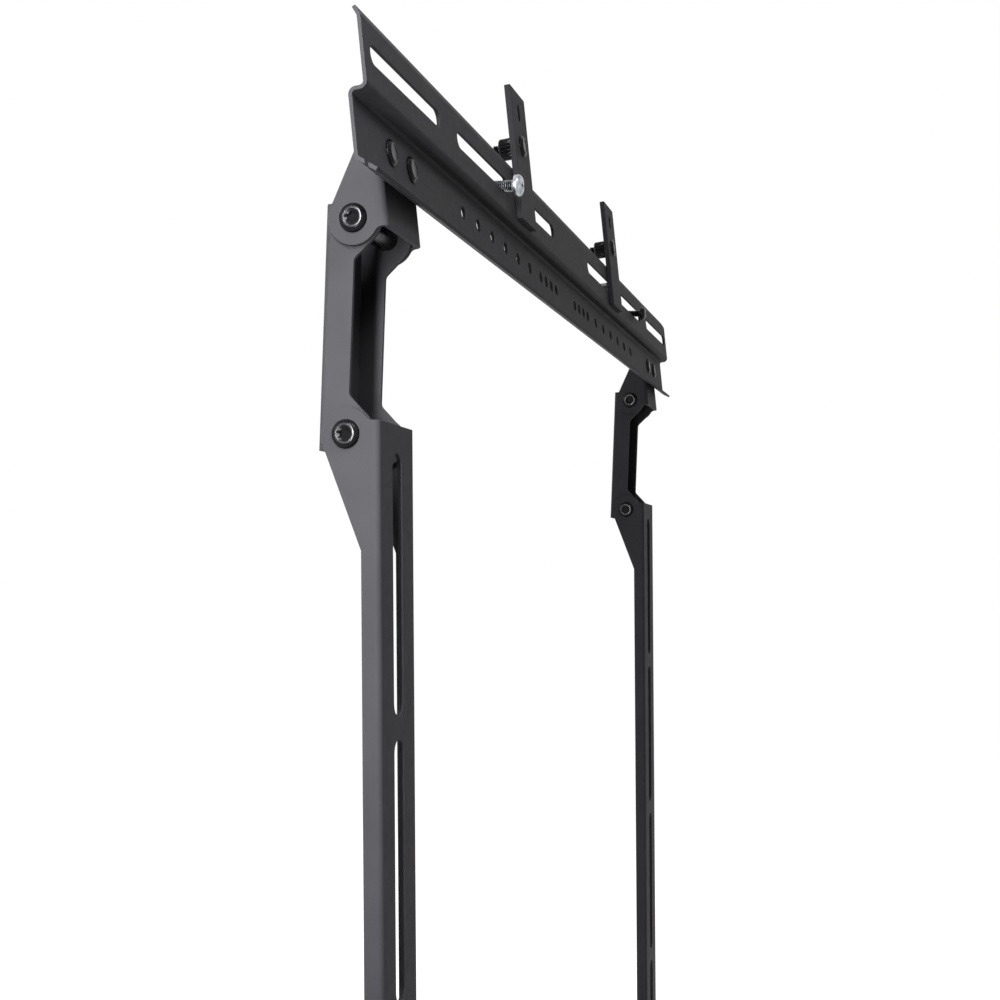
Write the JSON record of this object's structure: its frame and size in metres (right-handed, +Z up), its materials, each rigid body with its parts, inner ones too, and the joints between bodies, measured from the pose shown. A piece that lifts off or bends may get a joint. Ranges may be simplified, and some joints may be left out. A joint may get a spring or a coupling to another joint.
{
  "type": "tv mount",
  "caption": "Sound bar bracket for a television: slotted arms, friction-hinged links and a folded, slotted crossbar with sliding adapter plates.",
  "frame": {"origin": "middle of the row of holes in the crossbar's web, on the web's front face, at rest", "axes": "+X along the crossbar from the left hinge to the right one, -Y to the television and the sound bar, +Y to the wall, +Z up along the arms"},
  "size_m": [0.7056, 0.0435, 0.6843],
  "materials": {
    "black_powder_coat": "satin",
    "black_bolt": "satin",
    "zinc_plate": "satin",
    "friction_disc": "matte"
  },
  "bodies": {
    "arms": {"left_arm": "black_powder_coat", "right_arm": "black_powder_coat", "left_lower_pivot_bolt": "black_bolt", "left_lower_pivot_nut": "black_bolt", "right_lower_pivot_bolt": "black_bolt", "right_lower_pivot_nut": "black_bolt"},
    "left_link": {"left_link": "black_powder_coat", "left_lower_pivot_spacer": "zinc_plate", "left_lower_friction_discs": "friction_disc", "left_upper_pivot_spacer": "zinc_plate", "left_upper_friction_discs": "friction_disc"},
    "right_link": {"right_link": "black_powder_coat", "right_lower_pivot_spacer": "zinc_plate", "right_lower_friction_discs": "friction_disc", "right_upper_pivot_spacer": "zinc_plate", "right_upper_friction_discs": "friction_disc"},
    "head": {"crossbar": "black_powder_coat", "zinc_screw": "zinc_plate", "dark_screw": "black_bolt", "left_bracket": "black_powder_coat", "left_upper_pivot_bolt": "black_bolt", "left_upper_pivot_nut": "black_bolt", "left_bar_bolts": "black_bolt", "left_bar_nuts": "black_bolt", "right_bracket": "black_powder_coat", "right_upper_pivot_bolt": "black_bolt", "right_upper_pivot_nut": "black_bolt", "right_bar_bolts": "black_bolt", "right_bar_nuts": "black_bolt"},
    "left_adapter": {"left_adapter": "black_powder_coat", "left_adapter_bolt": "black_bolt", "left_fixing_stud": "zinc_plate", "left_fixing_washer": "zinc_plate", "left_fixing_nut": "zinc_plate"},
    "left_thumb_nut": {"left_thumb_nut": "black_bolt"},
    "right_adapter": {"right_adapter": "black_powder_coat", "right_adapter_bolt": "black_bolt", "right_fixing_stud": "zinc_plate", "right_fixing_washer": "zinc_plate", "right_fixing_nut": "zinc_plate"},
    "right_thumb_nut": {"right_thumb_nut": "black_bolt"}
  },
  "joints": [
    {"name": "link_swing", "type": "hinge", "parent": "arms", "child": "left_link", "pos_m": [-0.3, 0.01688, -0.11469], "axis": [1, 0, 0], "range_deg": [-90, 50]},
    {"name": "right_link_swing", "type": "hinge", "parent": "arms", "child": "right_link", "pos_m": [0.3, 0.01688, -0.11469], "axis": [1, 0, 0], "range_deg": [-90, 50]},
    {"name": "head_tilt", "type": "hinge", "parent": "left_link", "child": "head", "pos_m": [-0.3, 0.01302, -0.02757], "axis": [1, 0, 0], "range_deg": [-90, 60]},
    {"name": "left_adapter_slide", "type": "slide", "parent": "head", "child": "left_adapter", "axis": [1, 0, 0], "range_m": [-0.0103, 0.0682]},
    {"name": "right_adapter_slide", "type": "slide", "parent": "head", "child": "right_adapter", "axis": [1, 0, 0], "range_m": [-0.0765, 0.002]},
    {"name": "left_thumb_nut_turn", "type": "hinge", "parent": "left_adapter", "child": "left_thumb_nut", "pos_m": [-0.1177, -0.00093, 0.05816], "axis": [0, 0.9954, -0.0958], "continuous": true},
    {"name": "right_thumb_nut_turn", "type": "hinge", "parent": "right_adapter", "child": "right_thumb_nut", "pos_m": [0.126, -0.00093, 0.05816], "axis": [0, 0.9954, -0.0958], "continuous": true}
  ],
  "couplings": [
    {"joint": "right_link_swing", "follows": "link_swing", "ratio": 1}
  ]
}
